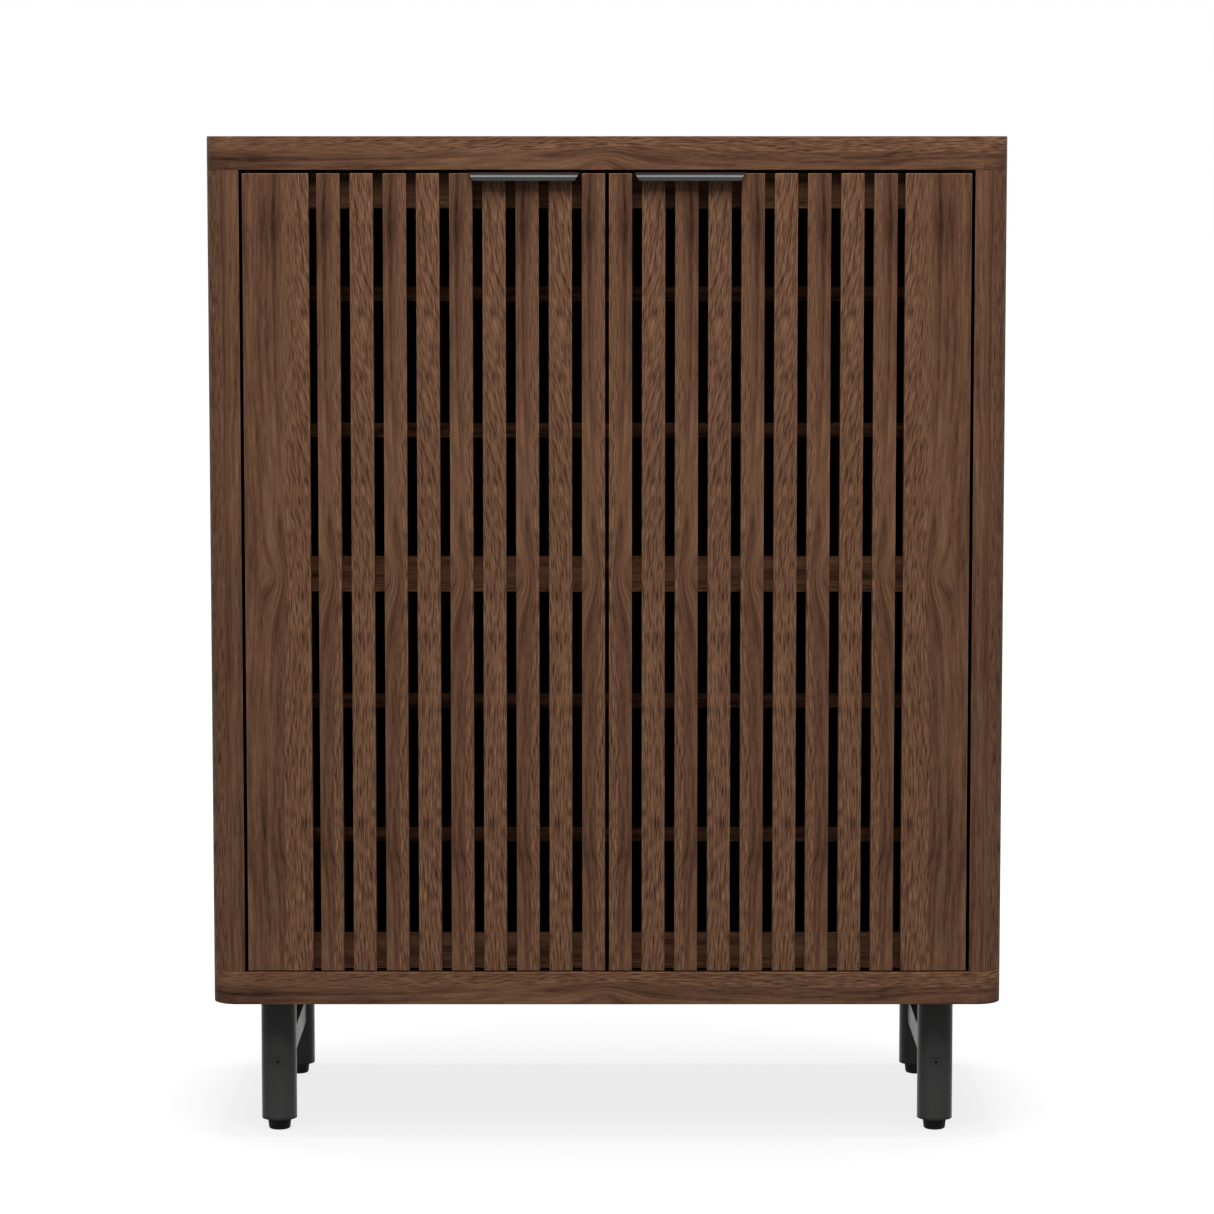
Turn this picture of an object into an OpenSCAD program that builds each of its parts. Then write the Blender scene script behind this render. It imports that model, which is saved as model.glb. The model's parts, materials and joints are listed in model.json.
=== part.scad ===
// Shoe cabinet: a wooden carcass with two slatted doors, five shelves and a steel base.
// Millimetres, +Z up, front faces -Y. The origin is on the floor, under the middle of the
// whole object's box, with the door handles counted in.

/* [Carcass] */
// Overall width
width = 800; // [660:1:1000]
// Depth from the front face to the back edge
depth = 350; // [290:1:450]
// Height of the wooden carcass
carcass_h = 876; // [730:1:1100]
// Height of the carcass's underside above the floor
base_h = 138; // [112:1:200]
// Thickness of the top, bottom and side panels
panel_t = 33.5; // [27:0.5:42]
// Plan radius of the front vertical corners
corner_r = 25; // [5:1:26]
// Thickness of the back panel
back_t = 5; // [3:0.5:8]
// How far the back panel laps onto the panels around it
rebate_w = 8; // [6:0.5:12]
// How far the back panel lies in from the carcass's back edge
back_recess = 2; // [0:0.5:6]

/* [Shelves] */
// Number of shelves
shelf_count = 5; // [5]
// Thickness of a shelf
shelf_t = 15; // [12:1:20]
// Distance from the front face to a shelf's front edge
shelf_setback = 91; // [70:1:120]
// Distance from the top or bottom of the opening to the middle of the nearest shelf
end_bay_h = 126; // [100:1:150]
// Distance from a shelf's front or back edge to its pins
pin_inset = 37; // [25:1:60]
// Step between the pin holes above and below each shelf
pin_step = 32; // [25:1:40]

/* [Doors] */
// Gap between a door and the side panel
side_gap = 3.3; // [3:0.1:4]
// Gap between the two doors
centre_gap = 4; // [3:0.5:6]
// Gap above the doors
top_gap = 3.3; // [3:0.1:5]
// Gap below the doors
bottom_gap = 1.2; // [1:0.1:3]
// Width of the wide stile at the hinge side
stile_w = 66; // [50:1:90]
// Gap between the stile and the first slat
first_gap = 8; // [4:0.5:14]
// Number of slats in a door
slat_count = 9; // [9]
// Width of a slat
slat_w = 23; // [15:0.5:26]
// Thickness of the slats and the stile
slat_t = 15; // [12:0.5:20]
// Height of a door rail
rail_h = 35; // [25:1:50]
// Thickness of a door rail
rail_t = 12; // [9:0.5:18]
// How far the door turns open
door_swing = 110; // [90:1:110]

/* [Handles] */
// Width of a handle along its top
handle_w = 111; // [90:1:140]
// Distance from the door's free edge to the handle
handle_inset = 25; // [15:1:60]
// Thickness of the handle's sheet
handle_t = 1.4; // [1:0.1:1.8]
// Radius of the handle's curved front
handle_r = 8.7; // [7:0.1:12]
// Straight stretch of the handle in front of the door
handle_run = 1.8; // [1:0.1:4]
// How much narrower the handle's lip is than its top, at each end
handle_taper = 5.25; // [0:0.25:8]
// Height of the handle's flange behind the door
flange_h = 15; // [12:0.5:18]

/* [Base] */
// Diameter of a leg
leg_d = 36; // [30:1:42]
// Wall of a leg's tube
leg_wall = 2; // [1.5:0.1:3]
// Distance from the carcass's side to a leg's axis
leg_inset_x = 63.6; // [50:0.1:90]
// Distance from the carcass's front or back to a leg's axis
leg_inset_y = 45.5; // [40:0.5:70]
// Side of a leg's square top plate
plate_w = 60; // [60:1:76]
// Thickness of a leg's top plate
plate_t = 3; // [2.5:0.5:4]
// Width of a cross bar
bar_w = 20; // [15:1:24]
// Height of a cross bar
bar_h = 25; // [20:1:32]
// Height of a cross bar's middle above the floor
bar_z = 72.5; // [60:0.5:90]
// Height of a levelling foot below its leg
foot_h = 11.5; // [8:0.5:16]
// Diameter of a foot at its top
foot_d = 24.5; // [20:0.5:28]
// How far a foot screws out
foot_travel = 8; // [4:1:10]

/* [Hardware] */
// Clearance all round a part that sits in a hole
fit_gap = 0.05; // [0.02:0.01:0.1]
// Diameter of a door's pivot pin
pivot_d = 5; // [4:0.5:5]
// Distance from the door's outer edge and front face to its pivot axis
pivot_inset = 6; // [5.5:0.1:6]
// Diameter of a pivot's bush
bush_d = 8; // [7:0.5:9]
// Length of a pivot's bush
bush_l = 12; // [8:1:16]
// Diameter of a shelf pin
pin_d = 5; // [4:0.5:6]
// Diameter of a carcass dowel
dowel_d = 8; // [6:1:10]
// Length of a carcass dowel
dowel_l = 30; // [24:1:36]
// Diameter of a small wood screw
screw_d = 3.5; // [3:0.1:4]
// Diameter of a base bolt and its thread
bolt_d = 6; // [5:1:6]

/* [Hidden] */
$fn = 64;
over = 1;                                  // how far a cut runs past the face it opens

opening_w = width - 2 * panel_t;
opening_h = carcass_h - 2 * panel_t;
top_z = base_h + carcass_h;
opening_z0 = base_h + panel_t;
opening_z1 = opening_z0 + opening_h;
handle_reach = handle_run + handle_r;
front_y = -(depth - handle_reach) / 2;
back_y = front_y + depth;

// Back panel, in a rebate cut round the back of the carcass
back_gap = 0.5;
rebate_d = back_t + back_recess;
back_face_y = back_y - rebate_d;

// Shelves
shelf_gap = 0.5;
shelf_front_y = front_y + shelf_setback;
shelf_d = back_face_y - shelf_gap - shelf_front_y;
shelf_pitch = (opening_h - 2 * end_bay_h) / (shelf_count - 1);
function shelf_z(i) = opening_z1 - end_bay_h - (i - 1) * shelf_pitch;
pin_hole_l = 8;
pin_ys = [shelf_front_y + pin_inset, shelf_front_y + shelf_d - pin_inset];
pin_block = [8.5, 7, 6];

// Carcass joints
joint_x = width / 2 - panel_t / 2;
joint_zs = [opening_z0, opening_z1];
dowel_ys = [front_y + 42, front_y + depth / 2, back_y - 50];
dowel_hole_l = dowel_l / 2 + 0.5;
cam_ys = [front_y + 80, back_y - 85];
cam_d = 15;
cam_l = 13;
cam_reach = 34;
cam_bolt_inset = 9.5;
cam_bolt_d = 6;
cam_bolt_root = 11;
cam_head_d = 7;
cam_head_l = 2.5;
cam_slot_w = 7.6;

// Doors
door_w = (opening_w - 2 * side_gap - centre_gap) / 2;
door_z0 = opening_z0 + bottom_gap;
door_z1 = opening_z1 - top_gap;
door_h = door_z1 - door_z0;
door_outer_x = opening_w / 2 - side_gap;
door_inner_x = centre_gap / 2;
door_back_y = front_y + slat_t + rail_t;
slat_gap = (door_w - stile_w - first_gap - slat_count * slat_w) / (slat_count - 1);
function slat_x(i) = door_inner_x + (slat_count - i) * (slat_w + slat_gap);
rail_end = 2;
rail_zs = [door_z1 - rail_h, (door_z0 + door_z1 - rail_h) / 2, door_z0];
door_screw_l = 20;

// Pivots
pivot_x = door_outer_x - pivot_inset;
pivot_y = front_y + pivot_inset;
pivot_root = 25;
pivot_tip_gap = 1;
collar_d = 9;
collar_gap = 0.3;

// Handles
handle_x = door_inner_x + handle_inset + handle_w / 2;
handle_screw_step = 70;

// Magnetic catches, which hold the handles' steel flanges
catch_size = [24, 14, 13];
catch_foot = [42, 14, 3];
catch_gap = 0.3;
catch_y = door_back_y + handle_t + catch_gap;
catch_screw_step = 33;

// Wood screws
screw_head_d = 2 * screw_d;
screw_head_l = screw_d / 2;
screw_l = 15;
plate_screw_d = 4.5;
plate_screw_l = 20;
plate_screw_step = plate_w - 16;
plate_corner_r = 6;

// Base
leg_r = leg_d / 2;
leg_x = width / 2 - leg_inset_x;
leg_ys = [front_y + leg_inset_y, back_y - leg_inset_y];
plate_z = base_h - plate_t;
plug_rim = 2;
plug_l = 24;
stem_d = 8;
stem_l = 20;
sleeve_d = 15;
bolt_head_d = 10.5;
bolt_head_l = 3.3;
bolt_sink = 4.3;
bolt_grip = 15;
bar_wall = 1.5;
bar_block = 16;

WOOD = [0.36, 0.25, 0.19];
DARK_WOOD = [0.2, 0.15, 0.12];
BLACK_STEEL = [0.18, 0.18, 0.18];
GUNMETAL = [0.28, 0.28, 0.3];
STEEL = [0.7, 0.7, 0.7];
PLASTIC = [0.08, 0.08, 0.08];
BEECH = [0.8, 0.66, 0.45];

// ---- Placing ----

// Right-hand parts are drawn in place and left-hand ones are their mirror image
module on_side(side) {
    if (side > 0) children();
    else mirror([1, 0, 0]) children();
}

module on_both_sides() {
    for (side = [-1, 1]) on_side(side) children();
}

// ---- Fasteners ----

// Countersunk screw along +Z, with its flat head's face at the origin
module wood_screw(length, d = screw_d, gap = 0) {
    head_d = 2 * d;
    cylinder(h = d / 2, d1 = head_d + 2 * gap, d2 = d + 2 * gap);
    cylinder(h = length, d = d + 2 * gap);
}

// The hole that such a screw sits in
module screw_hole(length, d = screw_d) {
    wood_screw(length + fit_gap, d, fit_gap);
    translate([0, 0, -over]) cylinder(h = over, d = 2 * d + 2 * fit_gap);
}

module at_back_screws() {
    side_x = (opening_w + rebate_w) / 2;
    for (z = [opening_z0 + 60 : (opening_h - 120) / 3 : opening_z1 - 59])
        on_both_sides() translate([side_x, back_y - back_recess, z]) rotate([90, 0, 0]) children();
    for (z = [opening_z0 - rebate_w / 2, opening_z1 + rebate_w / 2])
        on_both_sides() translate([opening_w / 4, back_y - back_recess, z])
            rotate([90, 0, 0]) children();
}

module at_catch_screws() {
    for (x = [-1, 1] * catch_screw_step / 2)
        on_both_sides()
            translate([handle_x + x, catch_y + catch_foot[1] / 2, opening_z1 - catch_foot[2]])
                children();
}

module wood_screws() {
    color(STEEL) {
        at_back_screws() wood_screw(screw_l);
        at_catch_screws() wood_screw(screw_l);
    }
}

// ---- Carcass ----

module carcass_plan() {
    translate([-width / 2, front_y + corner_r]) square([width, depth - corner_r]);
    translate([corner_r - width / 2, front_y]) square([width - 2 * corner_r, corner_r + over]);
    for (x = [-1, 1] * (width / 2 - corner_r))
        translate([x, front_y + corner_r]) circle(r = corner_r, $fn = 96);
}

module back_rebate() {
    translate([-opening_w / 2 - rebate_w, back_face_y, opening_z0 - rebate_w])
        cube([opening_w + 2 * rebate_w, rebate_d + over, opening_h + 2 * rebate_w]);
}

module at_dowels(z) {
    for (y = dowel_ys) on_both_sides() translate([joint_x, y, z]) children();
}

// Each cam fitting stands on its joint, with its bolt's root towards +Z
module at_cams(z) {
    for (y = cam_ys)
        on_both_sides()
            translate([opening_w / 2 + cam_bolt_inset, y, z])
                rotate([z == opening_z0 ? 180 : 0, 0, 0]) children();
}

module joint_holes() {
    for (z = joint_zs) {
        at_dowels(z) cylinder(h = 2 * dowel_hole_l, d = dowel_d + 2 * fit_gap, center = true);
        at_cams(z) {
            cylinder(h = cam_bolt_root + fit_gap, d = cam_bolt_d + 2 * fit_gap);
            translate([0, 0, -cam_reach]) cylinder(h = cam_reach, d = cam_head_d + 1);
            translate([-cam_bolt_inset - over, 0, -cam_reach]) rotate([0, 90, 0])
                cylinder(h = cam_l + over + fit_gap, d = cam_d + 2 * fit_gap);
        }
    }
}

module end_panel(z0) {
    difference() {
        translate([0, 0, z0]) linear_extrude(panel_t) carcass_plan();
        back_rebate();
        joint_holes();
        at_back_screws() screw_hole(screw_l);
    }
}

module at_pivots(z) {
    on_both_sides() translate([pivot_x, pivot_y, z]) children();
}

module top_panel() {
    color(WOOD) difference() {
        end_panel(opening_z1);
        at_pivots(opening_z1 - over) cylinder(h = bush_l + over, d = bush_d + 2 * fit_gap);
        at_catch_screws() screw_hole(screw_l);
    }
}

module bottom_panel() {
    color(WOOD) difference() {
        end_panel(base_h);
        at_pivots(opening_z0 - bush_l) cylinder(h = bush_l + over, d = bush_d + 2 * fit_gap);
        at_plate_screws() screw_hole(plate_screw_l, plate_screw_d);
    }
}

module at_shelf_pins(steps = [0]) {
    for (i = [1:shelf_count], y = pin_ys, step = steps)
        translate([opening_w / 2, y, shelf_z(i) - shelf_t / 2 - pin_block[2] / 2 + step * pin_step])
            rotate([0, 90, 0]) children();
}

module side_panel(side) {
    color(WOOD) on_side(side) difference() {
        translate([0, 0, opening_z0]) linear_extrude(opening_h) intersection() {
            carcass_plan();
            translate([opening_w / 2, front_y]) square([panel_t, depth]);
        }
        back_rebate();
        joint_holes();
        at_back_screws() screw_hole(screw_l);
        at_shelf_pins([-1, 0, 1]) translate([0, 0, -over])
            cylinder(h = pin_hole_l + fit_gap + over, d = pin_d + 2 * fit_gap);
    }
}

module back_panel() {
    w = opening_w + 2 * (rebate_w - back_gap);
    h = opening_h + 2 * (rebate_w - back_gap);
    color(DARK_WOOD) difference() {
        translate([-w / 2, back_face_y, opening_z0 - rebate_w + back_gap]) cube([w, back_t, h]);
        at_back_screws() screw_hole(screw_l);
    }
}

module shelf(i) {
    w = opening_w - 2 * shelf_gap;
    color(DARK_WOOD) translate([-w / 2, shelf_front_y, shelf_z(i) - shelf_t / 2])
        cube([w, shelf_d, shelf_t]);
}

module shelf_pins() {
    color(STEEL) on_both_sides() at_shelf_pins() {
        cylinder(h = pin_hole_l, d = pin_d);
        translate([-pin_block[2] / 2, -pin_block[1] / 2, -pin_block[0]])
            cube([pin_block[2], pin_block[1], pin_block[0]]);
    }
}

module cam_fitting() {
    cylinder(h = cam_bolt_root, d = cam_bolt_d);
    translate([0, 0, -cam_reach]) cylinder(h = cam_reach, d = cam_bolt_d - 1);
    translate([0, 0, -cam_reach]) cylinder(h = cam_head_l, d = cam_head_d);
    translate([-cam_bolt_inset, 0, -cam_reach]) difference() {
        rotate([0, 90, 0]) cylinder(h = cam_l, d = cam_d);
        translate([cam_bolt_inset - cam_slot_w / 2, -cam_slot_w / 2, -cam_slot_w / 2])
            cube([cam_slot_w, cam_slot_w, cam_d]);
        rotate([0, 90, 0]) translate([0, 0, -over]) cylinder(h = 3 + over, d = 6, $fn = 6);
    }
}

module carcass_fittings() {
    for (z = joint_zs) {
        color(BEECH) at_dowels(z) cylinder(h = dowel_l, d = dowel_d, center = true);
        color(STEEL) at_cams(z) cam_fitting();
    }
}

// ---- Doors, drawn for the right-hand side ----

module at_pivot_pins() {
    translate([pivot_x, pivot_y, door_z0]) rotate([180, 0, 0]) children();
    translate([pivot_x, pivot_y, door_z1]) children();
}

module at_slat_screws() {
    xs = concat(
        [for (i = [1:slat_count]) slat_x(i) + slat_w / 2],
        [door_outer_x - stile_w / 2 - 12, door_outer_x - stile_w / 2 + 12]
    );
    for (x = xs, z = rail_zs) translate([x, door_back_y, z + rail_h / 2]) rotate([90, 0, 0]) children();
}

module at_handle_screws() {
    for (x = [-1, 1] * handle_screw_step / 2)
        translate([handle_x + x, door_back_y + handle_t, door_z1 - flange_h / 2])
            rotate([90, 0, 0]) children();
}

module door_screw_holes() {
    at_slat_screws() screw_hole(door_screw_l);
    at_handle_screws() screw_hole(door_screw_l);
}

module stile(side) {
    color(WOOD) on_side(side) difference() {
        translate([door_outer_x - stile_w, front_y, door_z0]) cube([stile_w, slat_t, door_h]);
        at_pivot_pins() translate([0, 0, -pivot_root - fit_gap])
            cylinder(h = pivot_root + fit_gap + over, d = pivot_d + 2 * fit_gap);
        door_screw_holes();
    }
}

module slat(side, i) {
    color(WOOD) on_side(side) difference() {
        translate([slat_x(i), front_y, door_z0]) cube([slat_w, slat_t, door_h]);
        door_screw_holes();
    }
}

module rail(side, z) {
    color(DARK_WOOD) on_side(side) difference() {
        translate([door_inner_x + rail_end, front_y + slat_t, z])
            cube([door_w - 2 * rail_end, rail_t, rail_h]);
        door_screw_holes();
    }
}

// Section of the handle: X is the distance behind the door's front face, Y its height
// above the door's top
module handle_section() {
    leaf_t = slat_t + rail_t;
    translate([-handle_run, 0]) square([handle_run + leaf_t + handle_t, handle_t]);
    translate([leaf_t, -flange_h]) square([handle_t, flange_h + handle_t]);
    translate([-handle_run, handle_t - handle_r]) intersection() {
        difference() {
            circle(r = handle_r, $fn = 96);
            circle(r = handle_r - handle_t, $fn = 96);
        }
        translate([-handle_r, 0]) square([handle_r, handle_r]);
    }
}

// Front view of the handle: its curved lip narrows downwards
module handle_outline() {
    top = handle_w / 2;
    lip = top - handle_taper;
    polygon([[-top, handle_t], [top, handle_t], [lip, handle_t - handle_r],
             [lip, -flange_h], [-lip, -flange_h], [-lip, handle_t - handle_r]]);
}

module handle(side) {
    color(GUNMETAL) on_side(side) difference() {
        translate([handle_x, front_y, door_z1]) intersection() {
            rotate([90, 0, 90]) linear_extrude(handle_w, center = true) handle_section();
            rotate([90, 0, 0]) linear_extrude(2 * depth, center = true) handle_outline();
        }
        at_handle_screws() screw_hole(door_screw_l);
    }
}

module pivots(side) {
    reach = bush_l - pivot_tip_gap;
    color(STEEL) on_side(side) {
        at_pivot_pins() translate([0, 0, -pivot_root]) cylinder(h = pivot_root, d = pivot_d);
        translate([pivot_x, pivot_y, door_z1]) cylinder(h = top_gap + reach, d = pivot_d);
        translate([pivot_x, pivot_y, opening_z0 - reach]) cylinder(h = bottom_gap + reach, d = pivot_d);
        translate([pivot_x, pivot_y, opening_z0 + collar_gap])
            cylinder(h = bottom_gap - collar_gap, d = collar_d);
    }
}

module door_screws(side) {
    color(STEEL) on_side(side) {
        at_slat_screws() wood_screw(door_screw_l);
        at_handle_screws() wood_screw(door_screw_l);
    }
}

module pivot_bush() {
    difference() {
        cylinder(h = bush_l, d = bush_d);
        translate([0, 0, -over]) cylinder(h = bush_l + 2 * over, d = pivot_d + 2 * fit_gap);
    }
}

module pivot_bushes() {
    color(PLASTIC) {
        at_pivots(opening_z1) pivot_bush();
        at_pivots(opening_z0 - bush_l) pivot_bush();
    }
}

module magnetic_catches() {
    color(PLASTIC) difference() {
        on_both_sides() translate([handle_x, catch_y + catch_size[1] / 2, opening_z1]) {
            translate([0, 0, -catch_size[2] / 2]) cube(catch_size, center = true);
            translate([0, 0, -catch_foot[2] / 2]) cube(catch_foot, center = true);
        }
        at_catch_screws() screw_hole(screw_l);
    }
}

// ---- Base ----

module at_plate_screws() {
    for (y = leg_ys, dx = [-1, 1] * plate_screw_step / 2, dy = [-1, 1] * plate_screw_step / 2)
        on_both_sides() translate([leg_x + dx, y + dy, plate_z]) children();
}

// The bolts run along the cross bars, through each leg's middle
module at_bolts() {
    translate([leg_x, leg_ys[0] - leg_r, bar_z]) rotate([-90, 0, 0]) children();
    translate([leg_x, leg_ys[1] + leg_r, bar_z]) rotate([90, 0, 0]) children();
}

module bolt() {
    translate([0, 0, bolt_sink - bolt_head_l]) difference() {
        cylinder(h = bolt_head_l, d = bolt_head_d);
        translate([0, 0, -over]) cylinder(h = over + 2, d = 4.6, $fn = 6);
    }
    translate([0, 0, bolt_sink]) cylinder(h = leg_d - bolt_sink + bolt_grip, d = bolt_d);
}

module bolt_hole() {
    translate([0, 0, -over]) cylinder(h = bolt_sink + over, d = bolt_head_d + 10 * fit_gap);
    cylinder(h = leg_d + bolt_grip + fit_gap, d = bolt_d + 2 * fit_gap);
}

module plate_outline() {
    r = plate_corner_r;
    square([plate_w, plate_w - 2 * r], center = true);
    square([plate_w - 2 * r, plate_w], center = true);
    for (x = [-1, 1] * (plate_w / 2 - r), y = [-1, 1] * (plate_w / 2 - r))
        translate([x, y]) circle(r = r);
}

// Steel tube with its top plate welded on and a sleeve across it for the bolt
module leg(side, y) {
    color(BLACK_STEEL) on_side(side) difference() {
        union() {
            translate([leg_x, y, plate_z]) linear_extrude(plate_t) plate_outline();
            translate([leg_x, y, 0]) difference() {
                translate([0, 0, foot_h + plug_rim])
                    cylinder(h = plate_z - foot_h - plug_rim, r = leg_r, $fn = 96);
                translate([0, 0, foot_h]) cylinder(h = plate_z - foot_h, r = leg_r - leg_wall);
            }
            intersection() {
                translate([leg_x, y, 0]) cylinder(h = plate_z, r = leg_r, $fn = 96);
                translate([leg_x, y, bar_z]) rotate([90, 0, 0])
                    cylinder(h = leg_d, d = sleeve_d, center = true);
            }
        }
        at_bolts() bolt_hole();
        at_plate_screws() screw_hole(plate_screw_l, plate_screw_d);
    }
}

module leg_plug() {
    difference() {
        union() {
            translate([0, 0, foot_h]) cylinder(h = plug_rim, r = leg_r, $fn = 96);
            translate([0, 0, foot_h]) cylinder(h = plug_l, r = leg_r - leg_wall - fit_gap);
        }
        translate([0, 0, foot_h - over]) cylinder(h = plug_l + 2 * over, d = stem_d + 2 * fit_gap);
    }
}

module leg_plugs() {
    color(PLASTIC) for (y = leg_ys) on_both_sides() translate([leg_x, y, 0]) leg_plug();
}

// Levelling foot: a rounded pad on a threaded stem
module foot(side, y) {
    r = foot_d / 2;
    edge = 2;
    base_r = r - 1.2;
    color(PLASTIC) on_side(side) translate([leg_x, y, 0]) {
        rotate_extrude() {
            polygon([[0, 0], [base_r - edge, 0], [base_r - edge, edge], [base_r, edge],
                     [r, foot_h], [0, foot_h]]);
            translate([base_r - edge, edge]) intersection() {
                circle(r = edge);
                translate([0, -edge]) square(edge);
            }
        }
        cylinder(h = foot_h + stem_l, d = stem_d);
    }
}

module crossbar(side) {
    span = leg_ys[1] - leg_ys[0];
    hollow = span - leg_d - 2 * bar_block;
    color(BLACK_STEEL) on_side(side) difference() {
        translate([leg_x, (leg_ys[0] + leg_ys[1]) / 2, bar_z]) difference() {
            cube([bar_w, span, bar_h], center = true);
            cube([bar_w - 2 * bar_wall, hollow, bar_h - 2 * bar_wall], center = true);
        }
        for (y = leg_ys) translate([leg_x, y, 0])
            cylinder(h = base_h, r = leg_r + fit_gap, $fn = 96);
        at_bolts() bolt_hole();
    }
}

module leg_plate_screws() {
    color(STEEL) at_plate_screws() wood_screw(plate_screw_l, plate_screw_d);
}

module crossbar_bolts() {
    color(BLACK_STEEL) on_both_sides() at_bolts() bolt();
}

// ---- Nodes ----

top_panel();
bottom_panel();
side_panel(-1);  // left_side_panel
side_panel(1);  // right_side_panel
back_panel();
for (i = [1:shelf_count]) shelf(i);
shelf_pins();
carcass_fittings();
wood_screws();
pivot_bushes();
magnetic_catches();

leg(-1, leg_ys[0]);  // leg_front_left
leg(1, leg_ys[0]);  // leg_front_right
leg(-1, leg_ys[1]);  // leg_rear_left
leg(1, leg_ys[1]);  // leg_rear_right
crossbar(-1);  // left_crossbar
crossbar(1);  // right_crossbar
leg_plugs();
leg_plate_screws();
crossbar_bolts();
foot(-1, leg_ys[0]);  // foot_front_left
foot(1, leg_ys[0]);  // foot_front_right
foot(-1, leg_ys[1]);  // foot_rear_left
foot(1, leg_ys[1]);  // foot_rear_right

stile(-1);  // left_stile
rail(-1, rail_zs[0]);  // left_top_rail
rail(-1, rail_zs[1]);  // left_middle_rail
rail(-1, rail_zs[2]);  // left_bottom_rail
handle(-1);  // left_handle
pivots(-1);  // left_pivots
door_screws(-1);  // left_door_screws
for (i = [1:slat_count]) slat(-1, i);

stile(1);  // right_stile
rail(1, rail_zs[0]);  // right_top_rail
rail(1, rail_zs[1]);  // right_middle_rail
rail(1, rail_zs[2]);  // right_bottom_rail
handle(1);  // right_handle
pivots(1);  // right_pivots
door_screws(1);  // right_door_screws
for (i = [1:slat_count]) slat(1, i);
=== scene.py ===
"""A walnut shoe cabinet: two slatted doors, five shelves and a black steel base.

Everything is in metres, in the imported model's frame: +Z up, the doors face -Y.
"""
import json
import math

import bmesh
import bpy
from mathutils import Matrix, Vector


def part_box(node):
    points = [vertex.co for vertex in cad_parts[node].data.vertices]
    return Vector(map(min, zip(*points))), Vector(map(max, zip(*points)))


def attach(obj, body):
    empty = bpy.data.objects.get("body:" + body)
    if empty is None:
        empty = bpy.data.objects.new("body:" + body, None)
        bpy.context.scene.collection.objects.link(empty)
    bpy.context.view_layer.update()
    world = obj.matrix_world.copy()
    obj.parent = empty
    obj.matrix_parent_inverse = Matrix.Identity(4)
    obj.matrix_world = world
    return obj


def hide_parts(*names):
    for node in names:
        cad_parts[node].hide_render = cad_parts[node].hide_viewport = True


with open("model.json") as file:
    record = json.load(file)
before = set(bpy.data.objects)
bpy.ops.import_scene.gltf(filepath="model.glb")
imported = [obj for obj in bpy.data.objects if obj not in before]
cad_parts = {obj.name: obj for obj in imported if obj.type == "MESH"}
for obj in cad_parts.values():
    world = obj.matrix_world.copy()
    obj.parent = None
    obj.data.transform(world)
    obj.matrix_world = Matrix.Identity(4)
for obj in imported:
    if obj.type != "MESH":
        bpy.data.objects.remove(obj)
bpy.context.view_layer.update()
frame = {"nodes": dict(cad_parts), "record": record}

MM = 0.001

# ---- Places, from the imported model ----

top_low, top_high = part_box("top_panel")
FRONT = top_low.y
BACK = top_high.y
HALF_WIDTH = top_high.x
OPENING_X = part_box("right_side_panel")[0].x
CORNER_RADIUS = 25 * MM
EYE_HEIGHT = 571 * MM

# ---- Materials ----


class Wire:
    """A value on its way through a material's nodes, which can be added, multiplied and so on."""

    def __init__(self, tree, socket):
        self.tree = tree
        self.socket = socket

    def worked(self, operation, other=0.0):
        node = self.tree.nodes.new("ShaderNodeMath")
        node.operation = operation
        for slot, value in zip(node.inputs, (self, other)):
            join(self.tree, value, slot)
        return Wire(self.tree, node.outputs[0])

    def __add__(self, other):
        return self.worked("ADD", other)

    def __sub__(self, other):
        return self.worked("SUBTRACT", other)

    def __mul__(self, other):
        return self.worked("MULTIPLY", other)

    def __truediv__(self, other):
        return self.worked("DIVIDE", other)

    def step(self, low, high):
        """0 below low, 1 above high, and a smooth rise between."""
        node = self.tree.nodes.new("ShaderNodeMapRange")
        node.interpolation_type = "SMOOTHSTEP"
        for slot, value in zip(node.inputs, (self, low, high, 0.0, 1.0)):
            join(self.tree, value, slot)
        return Wire(self.tree, node.outputs[0])

    def bell(self, centre, width):
        """1 at the centre, falling away to nothing beyond about two widths."""
        away = (self - centre) / width
        return (away * away * -1.0).worked("EXPONENT")


def join(tree, value, slot):
    if isinstance(value, Wire):
        tree.links.new(value.socket, slot)
    else:
        slot.default_value = value


def parts_of(tree, socket):
    """The three parts of a vector."""
    split = tree.nodes.new("ShaderNodeSeparateXYZ")
    tree.links.new(socket, split.inputs[0])
    return [Wire(tree, output) for output in split.outputs]


def place_on(tree, attribute=None):
    """The three coordinates of a point: of the object, or of the veneer sheet."""
    if attribute:
        source = tree.nodes.new("ShaderNodeAttribute")
        source.attribute_name = attribute
        return parts_of(tree, source.outputs["Vector"])
    return parts_of(tree, tree.nodes.new("ShaderNodeTexCoord").outputs["Object"])


def blank(name, roughness, metallic=0.0, specular=0.5):
    """A new material, with its tree and its shader."""
    material = bpy.data.materials.new(name)
    material.use_nodes = True
    shader = material.node_tree.nodes["Principled BSDF"]
    shader.inputs["Roughness"].default_value = roughness
    shader.inputs["Metallic"].default_value = metallic
    shader.inputs["Specular IOR Level"].default_value = specular
    return material, material.node_tree, shader


def noise(tree, place, scales, detail=2.0, roughness=0.5, offset=0.0):
    """Soft noise about 0.5, with its own scale, per metre, along each coordinate."""
    joined = tree.nodes.new("ShaderNodeCombineXYZ")
    for value, scale, slot in zip(place, scales, joined.inputs):
        join(tree, value * scale + offset, slot)
    node = tree.nodes.new("ShaderNodeTexNoise")
    node.inputs["Scale"].default_value = 1.0
    node.inputs["Detail"].default_value = detail
    node.inputs["Roughness"].default_value = roughness
    tree.links.new(joined.outputs[0], node.inputs["Vector"])
    return Wire(tree, node.outputs["Fac"])


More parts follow.
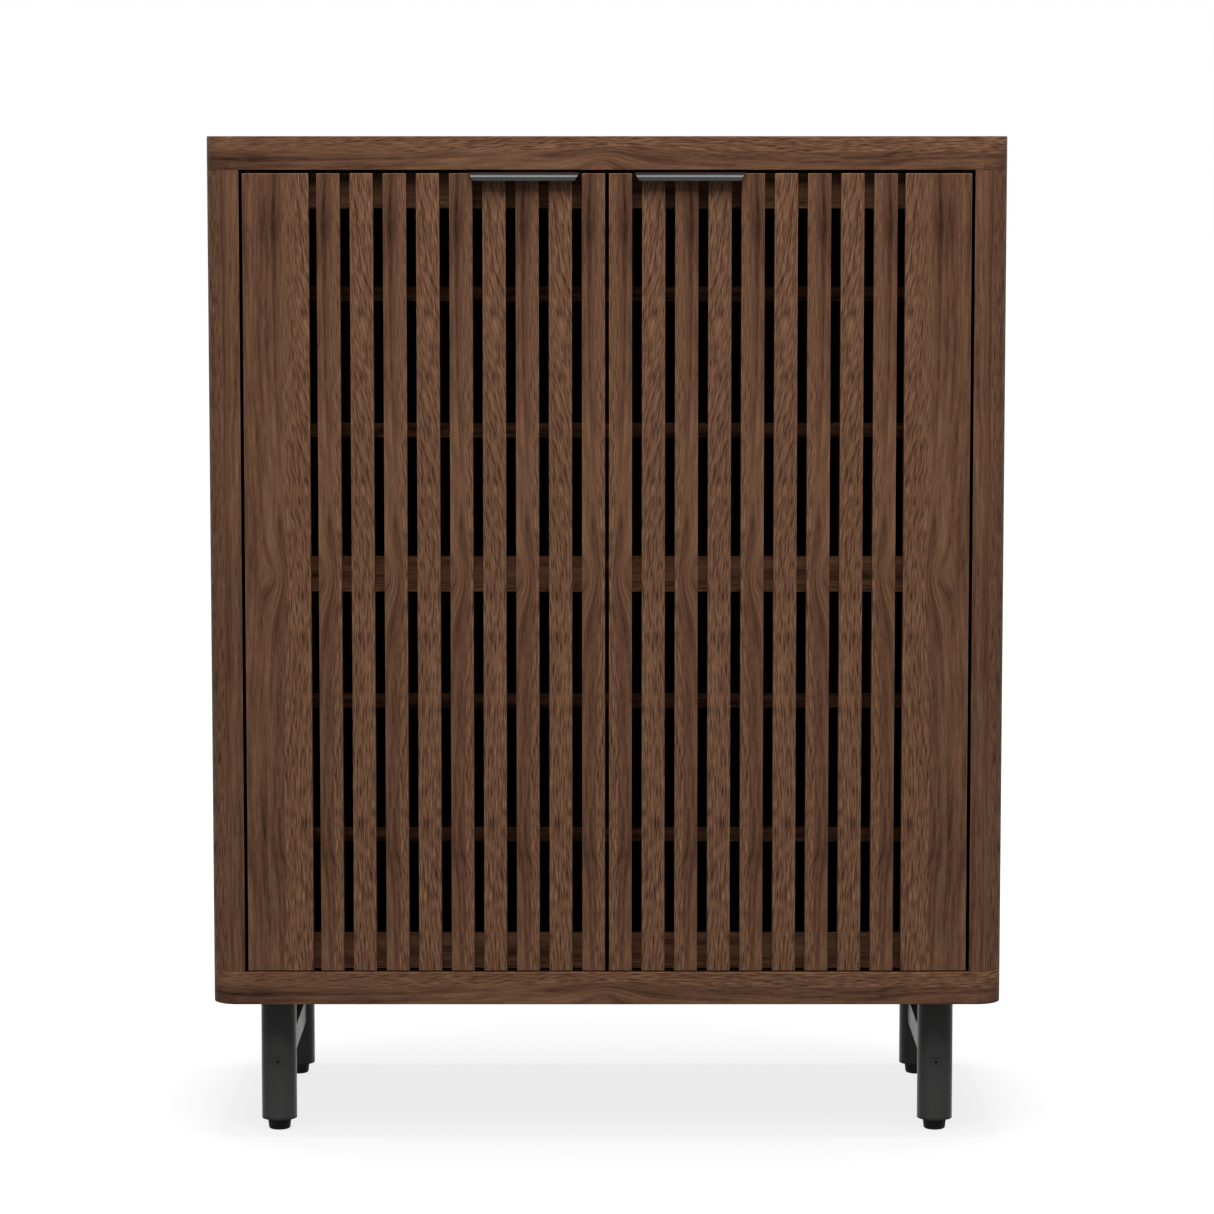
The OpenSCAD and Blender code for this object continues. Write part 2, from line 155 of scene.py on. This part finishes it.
def ramp(tree, value, stops):
    """A colour for each value: stops are (value, (red, green, blue))."""
    node = tree.nodes.new("ShaderNodeValToRGB")
    points = node.color_ramp.elements
    while len(points) < len(stops):
        points.new(0.5)
    for point, (where, colour) in zip(points, stops):
        point.position = where
        point.color = (*colour, 1.0)
    join(tree, value, node.inputs[0])
    return node.outputs[0]


def rough_surface(tree, shader, height, depth):
    """Bump from a height of 0 to 1 that stands for depth metres."""
    bump = tree.nodes.new("ShaderNodeBump")
    bump.inputs["Distance"].default_value = depth
    join(tree, height, bump.inputs["Height"])
    tree.links.new(bump.outputs[0], shader.inputs["Normal"])


WALNUT_TONES = (
    (0.08, (0.022, 0.0100, 0.0055)),
    (0.22, (0.059, 0.0274, 0.0160)),
    (0.32, (0.085, 0.0390, 0.0228)),
    (0.42, (0.111, 0.0520, 0.0298)),
    (0.60, (0.157, 0.0775, 0.0430)),
    (0.76, (0.198, 0.1010, 0.0570)),
    (1.00, (0.262, 0.1370, 0.0790)),
)
MIDDLE_TONE = 0.46
FINE_STRIPE_LIGHTER = 0.07
# How much lighter the softened edges are painted: a painted highlight for light caught on the
# rounded edges
PAINTED_EDGE_HIGHLIGHT = 0.14
PORE_DEPTH = 0.08 * MM

# How far the figure strays across the sheet
WANDER = 6 * MM
DRIFT_AT_THE_EYE = 7 * MM
DRIFT_LOW_DOWN = 9 * MM
LEAN_OF_THE_FINE_STRIPE = 30 * MM
PULL_OF_THE_EYE = 11 * MM
SLANT_OF_THE_DASHES = 0.07


def walnut_veneer(name, tone=1.0):
    """Walnut cut from one sheet: grain is (across the sheet, into it, along it from the eye).

    All places and widths on the sheet are in metres.
    """
    material, tree, shader = blank(name, roughness=0.55, specular=0.1)
    across, depth, along = place_on(tree, "grain")

    # the figure drifts up to the eye and away from it, leans in the fine stripe,
    # and is drawn out to a point at the eye
    wander = noise(tree, (across, depth, along), (12, 12, 3.5), 1.0) - 0.5
    drift = along.bell(0.02, 0.15) * DRIFT_AT_THE_EYE
    drift = drift + (along * -1.0).step(0.2, 0.45) * DRIFT_LOW_DOWN
    lean = along.step(-0.02, 0.42) * across.step(0.030, 0.055) * LEAN_OF_THE_FINE_STRIPE
    eye = across.bell(0.030, 0.0115) * along.bell(0.002, 0.026)
    bent = across + wander * WANDER - drift + lean - eye * PULL_OF_THE_EYE
    above = along.worked("MAXIMUM", -0.04)
    slanted = bent + above * across.step(0.032, 0.040) * SLANT_OF_THE_DASHES

    # a smooth stripe and a fine-grained one lie side by side, and broad ones beyond them
    edge = noise(tree, (across * 0.0, depth * 0.0, along), (1, 1, 6.0), 2.0) * 0.008 + 0.034
    edge = edge + along.bell(0.0, 0.07) * 0.005
    near_fine = (across - edge).step(-0.001, 0.0015)
    far_zones = noise(tree, (across, depth * 0.0, along), (9, 1, 0.5), 1.0, offset=4.0)
    is_far = across.step(0.085, 0.115)
    away = along.step(0.5, 0.55)
    fine = near_fine * (is_far * -1.0 + 1.0) + far_zones.step(0.42, 0.56) * is_far
    plain = fine * -1.0 + 1.0

    def by_stripe(in_plain, in_fine):
        """A strength that differs between the smooth stripe and the fine-grained one."""
        return plain * in_plain + fine * in_fine

    bands = noise(tree, (bent, depth, along), (85, 85, 4.5), 2.0, 0.6) - 0.5
    streaks = noise(tree, (bent, depth, along), (230, 230, 15.0), 3.0, 0.6, 2.0) - 0.5
    dashes = noise(tree, (slanted, depth, along), (580, 580, 42.0), 1.0, 0.75, 3.0) - 0.5
    flecks = noise(tree, (slanted, depth, along), (850, 850, 95.0), 0.0, 0.5, 7.0) - 0.5

    value = bands * by_stripe(0.90, 0.35) + streaks * by_stripe(0.90, 0.25)
    value = value + dashes * by_stripe(0.35, 1.30) + flecks * by_stripe(0.25, 0.80)
    value = value + (dashes * -1.0).step(0.02, 0.12) * fine * away * -0.17
    value = value + fine * FINE_STRIPE_LIGHTER + MIDDLE_TONE

    # a dark and a pale band high up, the marks of the eye, and the knot below it
    shade_band = across.bell(0.0335, 0.0042) * (along.step(0.25, 0.37) - away)
    pale_band = across.bell(0.0145, 0.005) * (along.step(0.28, 0.37) - away)
    crook = bent.bell(0.0185, 0.0013) * along.bell(0.0, 0.013)
    blob = across.bell(0.0255, 0.0038) * along.bell(-0.003, 0.009)
    knot = bent.bell(0.0345, 0.0010) * along.bell(-0.283, 0.008)
    value = value - shade_band * 0.24 + pale_band * 0.09
    value = value - crook * 0.2 + blob * 0.08 - knot * 0.3

    # the softened edges are painted lighter: a painted highlight for light on the rounded edges
    painted_highlight = tree.nodes.new("ShaderNodeAttribute")
    painted_highlight.attribute_name = "edge_highlight"
    value = value + Wire(tree, painted_highlight.outputs["Fac"]) * PAINTED_EDGE_HIGHLIGHT
    stops = [(where, [c * tone for c in colour]) for where, colour in WALNUT_TONES]
    tree.links.new(ramp(tree, value, stops), shader.inputs["Base Color"])
    join(tree, (streaks + dashes) * -0.2 + 0.56, shader.inputs["Roughness"])
    rough_surface(tree, shader, dashes * 0.6 + streaks * 0.4, PORE_DEPTH)
    return material


def speckled(name, tones, roughness, scale, depth, metallic=0.0, specular=0.5, smear=(1, 1, 1)):
    """A finish of two close tones with a fine relief: moulded, sprayed, plated or brushed."""
    material, tree, shader = blank(name, roughness, metallic, specular)
    place = place_on(tree)
    fine = noise(tree, place, [scale * s for s in smear], 3.0, 0.6)
    broad = noise(tree, place, [scale * s / 25 for s in smear], 2.0, 0.5, 5.0)
    mixed = (fine - 0.5) * 0.8 + (broad - 0.5) * 0.8 + 0.5
    stops = ((0.2, tones[0]), (0.8, tones[1]))
    tree.links.new(ramp(tree, mixed, stops), shader.inputs["Base Color"])
    join(tree, (mixed - 0.5) * 0.25 + roughness, shader.inputs["Roughness"])
    rough_surface(tree, shader, fine, depth)
    return material


walnut = walnut_veneer("walnut_veneer")
# the rails' walnut is 5% darker: painted shade behind the slats
painted_shade_walnut = walnut_veneer("painted_shade_walnut_veneer", tone=0.95)
# the shelves' front edges take the walnut 35% lighter: painted light on edges that sit in shade
# behind the slats
painted_light_walnut_edging = walnut_veneer("painted_light_walnut_edging", tone=1.35)
# near-black, darker than a real laminate: partly the inner faces' own colour, partly painted
# shade for the inside of the cabinet
black_laminate_and_shade = speckled(
    "black_laminate_and_shade", tones=((0.0035, 0.0033, 0.0032), (0.006, 0.0056, 0.0054)),
    roughness=0.6, scale=900, depth=0.03 * MM, specular=0.12)
powder_coat = speckled(
    "black_powder_coat", tones=((0.037, 0.037, 0.0362), (0.050, 0.050, 0.049)),
    roughness=0.40, scale=1500, depth=0.05 * MM, specular=0.35)
gunmetal = speckled(
    "brushed_gunmetal", tones=((0.190, 0.204, 0.196), (0.240, 0.254, 0.246)),
    roughness=0.20, scale=900, depth=0.01 * MM, metallic=1.0, smear=(0.04, 1, 1))
blackened_steel = speckled(
    "blackened_steel", tones=((0.02, 0.02, 0.02), (0.035, 0.035, 0.035)),
    roughness=0.5, scale=900, depth=0.01 * MM, metallic=1.0)
zinc = speckled(
    "zinc_plate", tones=((0.42, 0.42, 0.41), (0.62, 0.62, 0.60)),
    roughness=0.34, scale=700, depth=0.01 * MM, metallic=1.0)
black_plastic = speckled(
    "moulded_black_plastic", tones=((0.012, 0.012, 0.012), (0.02, 0.02, 0.02)),
    roughness=0.5, scale=1200, depth=0.03 * MM)
rubber = speckled(
    "foot_rubber", tones=((0.007, 0.007, 0.007), (0.014, 0.014, 0.014)),
    roughness=0.6, scale=1600, depth=0.05 * MM, specular=0.3)

# ---- Making pieces ----


def body_of(node):
    for body, nodes in frame["record"]["behaviour"]["bodies"].items():
        if node in nodes:
            return body


def slot_of(node):
    for row in frame["record"]["subparts"]:
        if row["node"] == node:
            return row["material_slot"]


def finished(bm, name, node, materials):
    """Makes a piece of the mesh that stands for a CAD node and moves with its body."""
    mesh = bpy.data.meshes.new(name)
    bm.to_mesh(mesh)
    bm.free()
    for material in materials:
        mesh.materials.append(material)
    piece = bpy.data.objects.new(name, mesh)
    bpy.context.scene.collection.objects.link(piece)
    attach(piece, body_of(node))
    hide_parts(node)
    slot_of(node)


def merged_copy(node):
    """A CAD node's mesh with its loose triangles joined into whole faces."""
    bm = bmesh.new()
    bm.from_mesh(frame["nodes"][node].data)
    for layer in list(bm.loops.layers.uv):
        bm.loops.layers.uv.remove(layer)
    bmesh.ops.remove_doubles(bm, verts=bm.verts, dist=0.004 * MM)
    flat = math.radians(0.5)
    bmesh.ops.dissolve_limit(bm, angle_limit=flat, verts=bm.verts, edges=bm.edges)
    for face in bm.faces:
        face.material_index = 0
    return bm


def round_over(bm, edges, width, segments=3):
    bmesh.ops.bevel(bm, geom=list(edges), offset=width, offset_type="OFFSET", affect="EDGES",
                    segments=segments, profile=0.5, material=-1, clamp_overlap=True)


# The edges of a metal, plastic or rubber piece that turn more than this stay sharp
SHARP_EDGE = math.radians(35)


def shade_smooth(bm):
    """Smooth shading, with the edges that turn more than SHARP_EDGE kept sharp."""
    for face in bm.faces:
        face.smooth = True
    for edge in bm.edges:
        edge.smooth = edge.is_manifold and edge.calc_face_angle(0) < SHARP_EDGE


# A flat face of a board points this much along one axis
FLAT = 0.999


def is_rounded(face):
    """Whether a face of a board belongs to a rounded edge or corner."""
    return max(abs(c) for c in face.normal) < FLAT


def flatten_boards(bm):
    """Flat shading for the flat faces, and smooth shading for the rounded ones."""
    for face in bm.faces:
        face.smooth = is_rounded(face)


# The faces of a softened edge are narrower than this, and those of a round corner are wider
NARROW_FACE = 1 * MM


def lay_grain(bm, mapping):
    """Writes each corner's place on the veneer sheet, and whether it is on a softened edge, which
    gets a painted highlight.
    """
    grain = bm.loops.layers.float_vector.new("grain")
    edge_highlight = bm.loops.layers.float.new("edge_highlight")
    for face in bm.faces:
        painted_highlight = is_rounded(face) and min(edge.calc_length() for edge in face.edges) < NARROW_FACE
        for corner in face.loops:
            corner[grain] = mapping(corner.vert.co, face.normal)
            corner[edge_highlight] = 1.0 if painted_highlight else 0.0


def board(low, high, edge_radius):
    """A board with softened edges."""
    bm = bmesh.new()
    bmesh.ops.create_cube(bm, size=1.0)
    bmesh.ops.scale(bm, vec=high - low, verts=bm.verts)
    bmesh.ops.translate(bm, vec=(low + high) / 2, verts=bm.verts)
    round_over(bm, bm.edges, edge_radius)
    return bm


# ---- Grain ----

# Where the pieces start on the veneer sheet, across it and along it
CARCASS_SHEET = 0.0205
BROAD_FACE_SHEET = CARCASS_SHEET + 0.14
BACK_EDGE_SHEET = CARCASS_SHEET + 0.3
SIDE_PANEL_ALONG = 0.5
STILE_SHEET = 0.0
ODD_SLAT_SHEET = 0.024
EVEN_SLAT_SHEET = 0.050
RAIL_SHEET = 0.012
RAIL_ALONG = 1.0
RAIL_ALONG_STEP = 0.35
SHELF_SHEET = 0.02
SHELF_ALONG_STEP = 0.13

# A face that points this much along an axis takes the grain of that side of its panel
SIDE_ON = 0.8


def upright_grain(sheet_start, outer_x):
    """Grain up the piece: across the sheet from the piece's outer edge, as solid wood."""

    def mapping(point, normal):
        return (sheet_start + outer_x - abs(point.x), point.y - FRONT, point.z - EYE_HEIGHT)

    return mapping


def level_grain(sheet_start, top_z, shift):
    """Grain along X: across the sheet downwards from the piece's top edge, as solid wood."""

    def mapping(point, normal):
        return (sheet_start + top_z - point.z, point.y - FRONT, point.x + shift)

    return mapping


def round_the_front(point):
    """How far a point is round the carcass's outline, from the middle of the front."""
    bend_x = HALF_WIDTH - CORNER_RADIUS
    bend_y = FRONT + CORNER_RADIUS
    out = abs(point.x)
    if out <= bend_x:
        way = out
    elif point.y <= bend_y:
        way = bend_x + CORNER_RADIUS * math.atan2(out - bend_x, bend_y - point.y)
    else:
        way = bend_x + CORNER_RADIUS * math.pi / 2 + point.y - bend_y
    return math.copysign(way, point.x)


def end_panel_grain(low_z):
    """Veneer that runs along the front, turns the corners and goes back along the sides."""

    def mapping(point, normal):
        if abs(normal.z) > SIDE_ON:
            return (BROAD_FACE_SHEET + point.y - FRONT, 0.0, -point.x)
        if normal.y > SIDE_ON:
            return (BACK_EDGE_SHEET + point.z - low_z, 0.0, -point.x)
        return (CARCASS_SHEET + point.z - low_z, 0.0, -round_the_front(point))

    return mapping


def side_panel_grain(point, normal):
    """Upright veneer that wraps from the inner front edge round the corner and back."""
    along = point.z + SIDE_PANEL_ALONG
    if abs(normal.z) > SIDE_ON:
        return (CARCASS_SHEET + abs(point.x) - OPENING_X, point.y - FRONT, 0.0)
    if normal.y > SIDE_ON:
        return (BACK_EDGE_SHEET + abs(point.x), 0.0, along)
    return (CARCASS_SHEET + abs(round_the_front(point)) - OPENING_X, 0.0, along)


# ---- Wooden pieces ----

PANEL_EDGE_RADIUS = 0.6 * MM
SLAT_EDGE_RADIUS = 0.7 * MM
SHELF_EDGE_RADIUS = 0.5 * MM

# A face that points this much along an axis is one of a panel's broad faces
BROAD = 0.9

# An edge of the outline turns by more than this, in radians
OUTLINE_TURN = 0.7

# A shelf's face that turns this much to the front is veneered
TURNED_FORWARD = 0.3

# A side panel's inner faces lie within this depth of its inner side, the rebate's included
INNER_DEPTH = 9 * MM

# How near a corner, or a face's middle, must be to a plane or to a bend to lie on it
EXACT = 1e-6
CLOSE = 1e-5
CLOSE_TO_BEND = 2e-5


def on_outline(point):
    """Whether a point lies on the carcass's outline, seen from above."""
    bend_x = HALF_WIDTH - CORNER_RADIUS
    bend_y = FRONT + CORNER_RADIUS
    if abs(point.x) > bend_x and point.y < bend_y:
        away = math.hypot(abs(point.x) - bend_x, bend_y - point.y)
        return away > CORNER_RADIUS - CLOSE_TO_BEND
    return (HALF_WIDTH - abs(point.x) < CLOSE or point.y - FRONT < CLOSE
            or BACK - point.y < CLOSE)


def is_outline(edge, z_values):
    """Whether an edge is a sharp one of the carcass's outline, at one of the heights."""
    a, b = (v.co for v in edge.verts)
    level = any(abs(a.z - z) < EXACT and abs(b.z - z) < EXACT for z in z_values)
    return level and edge.calc_face_angle(0) > OUTLINE_TURN and on_outline(a) and on_outline(b)


def end_panel(node):
    """The top or the bottom panel, veneered, with a near-black laminated inner face that also
    paints the shade inside.
    """
    low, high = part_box(node)
    bm = merged_copy(node)
    edges = [e for e in bm.edges if is_outline(e, (low.z, high.z))]
    round_over(bm, edges, PANEL_EDGE_RADIUS, segments=2)
    bmesh.ops.recalc_face_normals(bm, faces=bm.faces)
    flatten_boards(bm)
    inner_z = low.z if node == "top_panel" else high.z
    for face in bm.faces:
        level = abs(face.calc_center_median().z - inner_z) < CLOSE
        face.material_index = 1 if level and abs(face.normal.z) > BROAD else 0
    lay_grain(bm, end_panel_grain(low.z))
    finished(bm, node + "_veneered", node, (walnut, black_laminate_and_shade))


def side_panel(node):
    """A side panel, veneered, with a near-black laminated inner face that also paints the shade
    inside.
    """
    bm = merged_copy(node)
    corners = []
    for edge in bm.edges:
        a, b = (v.co for v in edge.verts)
        front = abs(a.y - FRONT) < EXACT and abs(b.y - FRONT) < EXACT
        inner = (abs(abs(a.x) - OPENING_X) < EXACT
                 and abs(abs(b.x) - OPENING_X) < EXACT)
        if front and inner:
            corners.append(edge)
    round_over(bm, corners, PANEL_EDGE_RADIUS, segments=2)
    bmesh.ops.recalc_face_normals(bm, faces=bm.faces)
    flatten_boards(bm)
    for face in bm.faces:
        near = abs(face.calc_center_median().x) < OPENING_X + INNER_DEPTH
        face.material_index = 1 if near and abs(face.normal.x) > BROAD else 0
    lay_grain(bm, side_panel_grain)
    finished(bm, node + "_veneered", node, (walnut, black_laminate_and_shade))


def upright(node, sheet_start):
    """A stile or a slat."""
    low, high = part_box(node)
    bm = board(low, high, SLAT_EDGE_RADIUS)
    flatten_boards(bm)
    outer_x = max(abs(low.x), abs(high.x))
    lay_grain(bm, upright_grain(sheet_start, outer_x))
    finished(bm, node + "_veneered", node, (walnut,))


def rail(node, shift):
    """A rail behind the slats, with its own length of the sheet, in walnut darkened as painted
    shade.
    """
    bm = merged_copy(node)
    flatten_boards(bm)
    top_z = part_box(node)[1].z
    lay_grain(bm, level_grain(RAIL_SHEET, top_z, shift))
    finished(bm, node + "_veneered", node, (painted_shade_walnut,))


def shelf(node, shift):
    """A near-black laminated board, its darkness partly painted shade, with a walnut front edge
    painted lighter.
    """
    low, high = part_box(node)
    bm = board(low, high, SHELF_EDGE_RADIUS)
    flatten_boards(bm)
    for face in bm.faces:
        face.material_index = 0 if face.normal.y < -TURNED_FORWARD else 1
    lay_grain(bm, level_grain(SHELF_SHEET, high.z, shift))
    finished(bm, node + "_edged", node, (painted_light_walnut_edging, black_laminate_and_shade))


end_panel("top_panel")
end_panel("bottom_panel")
side_panel("left_side_panel")
side_panel("right_side_panel")
for number in range(1, 6):
    shelf(f"shelf_{number}", SHELF_ALONG_STEP * number)

for side in ("left", "right"):
    upright(side + "_stile", STILE_SHEET)
    for number in range(1, 10):
        upright(f"{side}_slat_{number}", ODD_SLAT_SHEET if number % 2 else EVEN_SLAT_SHEET)
    for number, place in enumerate(("top", "middle", "bottom")):
        rail(f"{side}_{place}_rail", RAIL_ALONG + RAIL_ALONG_STEP * number)

# ---- Steel, plastic and rubber pieces, and the back board ----


def hardware(node, material):
    bm = merged_copy(node)
    shade_smooth(bm)
    finished(bm, node + "_finished", node, (material,))


HARDWARE = (
    (powder_coat, ("leg_front_left", "leg_front_right", "leg_rear_left", "leg_rear_right",
                   "left_crossbar", "right_crossbar", "crossbar_bolts")),
    (gunmetal, ("left_handle", "right_handle")),
    (zinc, ("shelf_pins", "carcass_fittings", "wood_screws", "leg_plate_screws",
            "left_door_screws", "right_door_screws")),
    (blackened_steel, ("left_pivots", "right_pivots")),
    (black_plastic, ("leg_plugs", "pivot_bushes", "magnetic_catches")),
    # the back board takes the near-black laminate, partly painted shade
    (black_laminate_and_shade, ("back_panel",)),
    (rubber, ("foot_front_left", "foot_front_right", "foot_rear_left", "foot_rear_right")),
)
for material, nodes in HARDWARE:
    for node in nodes:
        hardware(node, material)

# ---- Studio ----

scene = bpy.context.scene
scene.view_settings.view_transform = "Standard"
scene.view_settings.look = "None"
scene.view_settings.exposure = 0.0
scene.view_settings.gamma = 1.0

WHITE = (1, 1, 1, 1)
FLOOR_REACH = 40.0
FLOOR_COLOUR = (0.06, 0.06, 0.06, 1)
FLOOR_GLOW = 0.82
EXTRA_GLOW_AWAY = 0.2

# The glow grows between these distances from under the cabinet's middle, so the dimmer floor near
# the cabinet is painted shade
GLOW_GROWS = (0.34, 0.66)

# How strongly the air lights the cabinet: all round, and what its brighter parts add
DIM_AIR = 0.26
OVERHEAD_STRIP = 2.0
AIR_BEHIND = 0.75


def studio_floor():
    """A wide white floor that glows so that no horizon shows, less near the cabinet: painted
    shade.
    """
    bm = bmesh.new()
    bmesh.ops.create_grid(bm, x_segments=1, y_segments=1, size=FLOOR_REACH)
    mesh = bpy.data.meshes.new("studio_floor")
    bm.to_mesh(mesh)
    bm.free()
    material, tree, shader = blank("white_floor", 0.9, specular=0.0)
    shader.inputs["Base Color"].default_value = FLOOR_COLOUR
    shader.inputs["Emission Color"].default_value = WHITE
    aside, back = place_on(tree)[:2]
    away = (aside * aside + back * back).worked("SQRT")
    glow = away.step(*GLOW_GROWS) * EXTRA_GLOW_AWAY + FLOOR_GLOW
    join(tree, glow, shader.inputs["Emission Strength"])
    mesh.materials.append(material)
    floor = bpy.data.objects.new("studio_floor", mesh)
    scene.collection.objects.link(floor)
    # the floor's glow neither lights the cabinet nor is mirrored in it
    floor.visible_diffuse = False
    floor.visible_glossy = False
    return floor


def studio_air():
    """White to the camera. What lights the cabinet is dimmer, with a bright strip overhead in
    front, and more light from behind."""
    world = bpy.data.worlds.new("studio_air")
    scene.world = world
    world.use_nodes = True
    tree = world.node_tree
    toward = tree.nodes.new("ShaderNodeTexCoord").outputs["Generated"]
    back, up = parts_of(tree, toward)[1:]
    soft = tree.nodes["Background"]
    overhead = back.bell(-0.42, 0.12) * up.step(0.4, 0.8)
    strength = overhead * OVERHEAD_STRIP + back.step(0.3, 0.95) * AIR_BEHIND + DIM_AIR
    join(tree, strength, soft.inputs["Strength"])
    white = tree.nodes.new("ShaderNodeBackground")
    for shader in (soft, white):
        shader.inputs["Color"].default_value = WHITE
    path = tree.nodes.new("ShaderNodeLightPath")
    mix = tree.nodes.new("ShaderNodeMixShader")
    tree.links.new(path.outputs["Is Camera Ray"], mix.inputs[0])
    tree.links.new(soft.outputs[0], mix.inputs[1])
    tree.links.new(white.outputs[0], mix.inputs[2])
    tree.links.new(mix.outputs[0], tree.nodes["World Output"].inputs[0])


def softbox(name, place, aim, size, power):
    """A rectangular light turned to a point, which neither the camera nor shiny metal sees."""
    data = bpy.data.lights.new(name, "AREA")
    data.shape = "RECTANGLE"
    data.size, data.size_y = size
    data.energy = power
    light = bpy.data.objects.new(name, data)
    scene.collection.objects.link(light)
    light.location = place
    light.rotation_euler = (Vector(aim) - Vector(place)).to_track_quat("-Z", "Y").to_euler()
    light.visible_camera = False
    light.visible_glossy = False
    return light


def keep_to_floor(light, floor):
    """Lets a light reach the floor only."""
    only_floor = bpy.data.collections.new("floor_only")
    only_floor.objects.link(floor)
    light.light_linking.receiver_collection = only_floor


def studio_camera():
    """A long lens in front, a little below the top, looking slightly down."""
    data = bpy.data.cameras.new("camera")
    data.lens = 122.32
    data.sensor_width = 36.0
    data.shift_y = -0.04
    camera = bpy.data.objects.new("camera", data)
    scene.collection.objects.link(camera)
    camera.location = (0.0, -4.288, 0.997)
    looking_down = 5.61
    camera.rotation_euler = (math.radians(90 - looking_down), 0, 0)
    scene.camera = camera


floor = studio_floor()
studio_air()
softbox("high_softbox", place=(0.0, -1.95, 3.6), aim=(0.0, -1.9, 0.0), size=(4.0, 2.4), power=200)
floor_light = softbox(
    "floor_light", place=(0.0, 0.05, 6.0), aim=(0.0, 0.0, 0.0), size=(1.2, 1.2), power=800)
keep_to_floor(floor_light, floor)
studio_camera()
